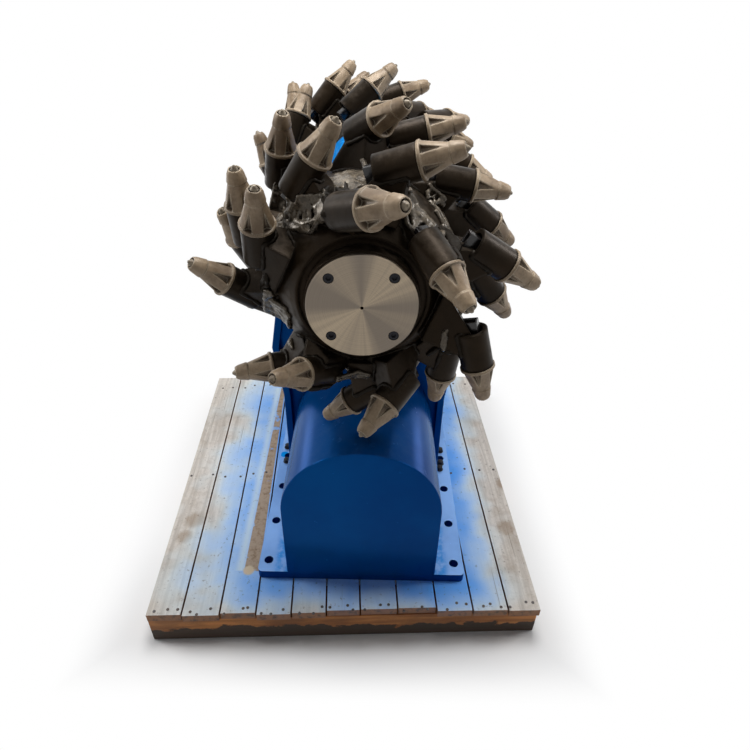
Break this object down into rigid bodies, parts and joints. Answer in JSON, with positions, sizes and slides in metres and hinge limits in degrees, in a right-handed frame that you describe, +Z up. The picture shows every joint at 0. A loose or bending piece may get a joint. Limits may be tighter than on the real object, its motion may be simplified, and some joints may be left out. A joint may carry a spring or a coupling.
{
  "type": "twin drum cutter for an excavator",
  "caption": "Twin drum cutter head for an excavator with welded pick holders, standing on its bolt-on plate on a timber pallet.",
  "frame": {"origin": "middle of the mounting plate's underside, at the centre of its bolt pattern", "axes": "+Z up from the plate to the drums, Y along the drum axis, X across the plate"},
  "size_m": [1.1494, 1.3372, 1.3795],
  "materials": {
    "blue_paint": "glossy",
    "black_paint": "satin",
    "pick_steel": "satin",
    "hard_tip": "satin",
    "turned_steel": "turned",
    "shaft_steel": "satin",
    "weathered_timber": "matte",
    "bearer_timber": "matte"
  },
  "bodies": {
    "frame": {"mounting_plate": "blue_paint", "motor_housing_front": "blue_paint", "motor_housing_rear": "blue_paint", "gear_case": "blue_paint", "pallet_planks": "weathered_timber", "pallet_bearers": "bearer_timber"},
    "drums": {"drive_shaft": "shaft_steel", "drum_front": "black_paint", "drum_rear": "black_paint", "picks_front": "pick_steel", "picks_rear": "pick_steel", "tips_front": "hard_tip", "tips_rear": "hard_tip", "end_disc_front": "turned_steel", "end_disc_rear": "turned_steel"}
  },
  "joints": [
    {"name": "drum_spin", "type": "hinge", "parent": "frame", "child": "drums", "pos_m": [0, 0, 0.9], "axis": [0, 1, 0], "continuous": true}
  ]
}
